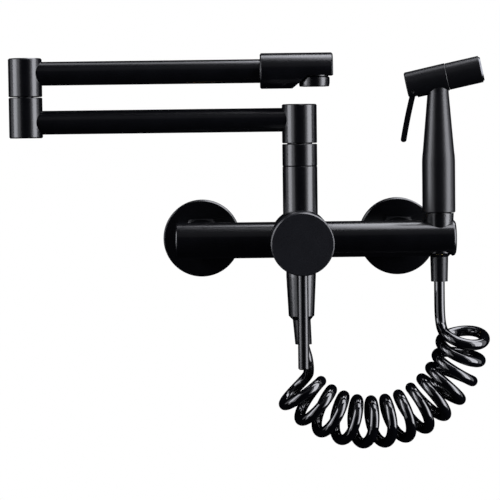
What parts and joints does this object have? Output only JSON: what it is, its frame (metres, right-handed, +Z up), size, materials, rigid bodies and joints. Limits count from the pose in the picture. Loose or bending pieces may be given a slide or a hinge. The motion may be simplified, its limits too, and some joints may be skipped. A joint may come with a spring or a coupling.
{
  "type": "wall-mounted kitchen faucet",
  "caption": "Matte black wall-mounted kitchen faucet: folding jointed spout, round mixer knob with a rod lever, and a trigger hand sprayer on a coiled hose, held at the end of the bar.",
  "frame": {"origin": "on the wall, midway between the two inlet unions, at the height of the valve bar's axis", "axes": "+X to the right along the wall, +Y into the wall, +Z up; the faucet faces -Y"},
  "size_m": [0.3575, 0.13, 0.2971],
  "materials": {
    "black_metal": "matte black coat on brass",
    "hose_plastic": "glossy black",
    "sleeve_plastic": "satin black",
    "brass": "turned brass",
    "steel": "ground steel",
    "seal_rubber": "matte",
    "valve_plastic": "moulded",
    "ceramic": "lapped ceramic",
    "polished_ring": "polished",
    "face_plastic": "satin black"
  },
  "bodies": {
    "mixer": {"wall_union_hot": "brass", "wall_union_cold": "brass", "wall_flange_hot": "black_metal", "wall_flange_cold": "black_metal", "union_nut_hot": "black_metal", "union_nut_cold": "black_metal", "union_gasket_hot": "seal_rubber", "union_gasket_cold": "seal_rubber", "mixer_body": "black_metal", "cartridge_base": "valve_plastic", "port_seals": "seal_rubber", "fixed_disc": "ceramic", "cartridge_shell": "valve_plastic", "cartridge_nut": "brass", "dome_trim": "black_metal", "spout_collar": "black_metal", "diverter_valve": "valve_plastic", "outlet_nipple": "brass", "hose_nut_lower": "black_metal", "hose_washer_lower": "seal_rubber", "hose_tail_lower": "brass", "hose_sleeve_lower": "sleeve_plastic", "hose": "hose_plastic"},
    "lower_arm": {"column_elbow": "black_metal", "column_spigot": "brass", "spigot_rings": "seal_rubber", "spigot_clip": "valve_plastic", "lower_arm_tube": "black_metal", "lower_knuckle": "black_metal", "knuckle_plug": "black_metal"},
    "upper_arm": {"knuckle_spigot": "brass", "knuckle_ring": "seal_rubber", "upper_knuckle": "black_metal", "upper_arm_tube": "black_metal", "spout_head": "black_metal", "aerator_housing": "black_metal", "aerator_screen": "valve_plastic"},
    "carrier": {"disc_carrier": "valve_plastic", "pivot_pin": "steel"},
    "handle": {"cartridge_stem": "steel", "knob": "black_metal", "lever_rod": "black_metal", "knob_screw": "steel"},
    "valve_disc": {"moving_disc": "ceramic"},
    "hose_end": {"hose_tail_upper": "brass", "hose_sleeve_upper": "sleeve_plastic"},
    "sprayer": {"hose_nut_upper": "black_metal", "hose_washer_upper": "seal_rubber", "sprayer_handle": "black_metal", "sprayer_head": "black_metal", "valve_core": "valve_plastic", "nozzle_sleeve": "black_metal", "face_ring": "polished_ring", "spray_face": "face_plastic", "trigger_pin": "steel"},
    "trigger": {"trigger": "black_metal"},
    "spindle": {"valve_spindle": "steel"}
  },
  "joints": [
    {"name": "lower_arm_swing", "type": "hinge", "parent": "mixer", "child": "lower_arm", "pos_m": [0, -0.045, 0.0721], "axis": [0, 0, 1], "range_deg": [-4, 150]},
    {"name": "upper_arm_swing", "type": "hinge", "parent": "lower_arm", "child": "upper_arm", "pos_m": [-0.204, -0.045, 0.1086], "axis": [0, 0, -1], "range_deg": [-180, 180]},
    {"name": "temperature_turn", "type": "hinge", "parent": "mixer", "child": "carrier", "pos_m": [0, -0.06675, 0], "axis": [0, 1, 0], "range_deg": [-50, 50]},
    {"name": "lever_tilt", "type": "hinge", "parent": "carrier", "child": "handle", "pos_m": [0, -0.06675, 0], "axis": [-1, 0, 0], "range_deg": [0, 20]},
    {"name": "disc_slide", "type": "slide", "parent": "carrier", "child": "valve_disc", "axis": [0, 0, -1], "range_m": [0, 0.0018]},
    {"name": "sprayer_lift", "type": "slide", "parent": "mixer", "child": "hose_end", "axis": [0, 0, 1], "range_m": [0, 0.08], "deforming": ["hose"]},
    {"name": "sprayer_swivel", "type": "hinge", "parent": "hose_end", "child": "sprayer", "pos_m": [0.1035, -0.045, 0.0184], "axis": [0, 0, 1], "continuous": true},
    {"name": "trigger_pull", "type": "hinge", "parent": "sprayer", "child": "trigger", "pos_m": [0.08539, -0.04278, 0.1092], "axis": [-0.1219, -0.9925, 0], "range_deg": [0, 12], "stiffness_Nm_per_rad": 0.4, "springref_deg": -11.46},
    {"name": "spindle_slide", "type": "slide", "parent": "sprayer", "child": "spindle", "axis": [-0.9709, 0.1192, -0.2079], "range_m": [0, 0.0012]}
  ],
  "couplings": [
    {"joint": "disc_slide", "follows": "lever_tilt", "m_per_rad": 0.00495},
    {"joint": "spindle_slide", "follows": "trigger_pull", "m_per_rad": 0.0054}
  ]
}
